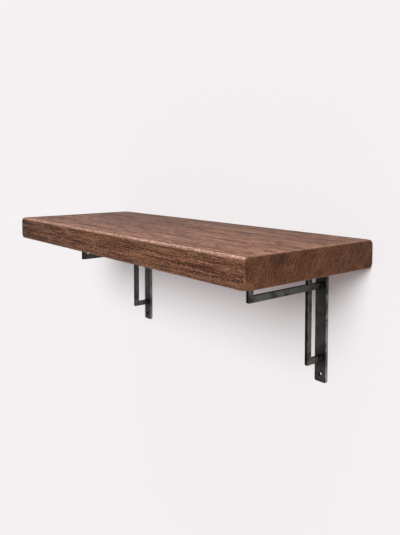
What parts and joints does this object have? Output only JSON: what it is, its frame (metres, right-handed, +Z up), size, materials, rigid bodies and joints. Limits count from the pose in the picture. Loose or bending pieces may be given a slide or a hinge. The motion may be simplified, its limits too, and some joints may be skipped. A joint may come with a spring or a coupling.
{
  "type": "bracket wall shelf",
  "caption": "Thick stained timber plank on a pair of welded flat-bar wall brackets, each an L of wide bar with a thinner crossed inner frame.",
  "frame": {"origin": "middle of the plank's back face, on the wall plane", "axes": "+X to the right along the shelf, +Y into the wall, +Z up; the front faces -Y"},
  "size_m": [0.6096, 0.235, 0.216],
  "materials": {
    "stained_wood": "brown stained rough-sawn timber, worn lighter on the arrises, satin wax",
    "blackened_steel": "mottled blackened mill steel under clear wax",
    "weld_metal": "darkened fillet weld",
    "screw_steel": "black phosphate screws"
  },
  "bodies": {
    "root": {"shelf_plank": "stained_wood", "left_wall_plate": "blackened_steel", "left_shelf_arm": "blackened_steel", "left_rail": "blackened_steel", "left_post": "blackened_steel", "left_front_upright": "blackened_steel", "left_lower_stub": "blackened_steel", "left_weld_beads": "weld_metal", "left_shelf_screws": "screw_steel", "right_wall_plate": "blackened_steel", "right_shelf_arm": "blackened_steel", "right_rail": "blackened_steel", "right_post": "blackened_steel", "right_front_upright": "blackened_steel", "right_lower_stub": "blackened_steel", "right_weld_beads": "weld_metal", "right_shelf_screws": "screw_steel"}
  },
  "joints": []
}
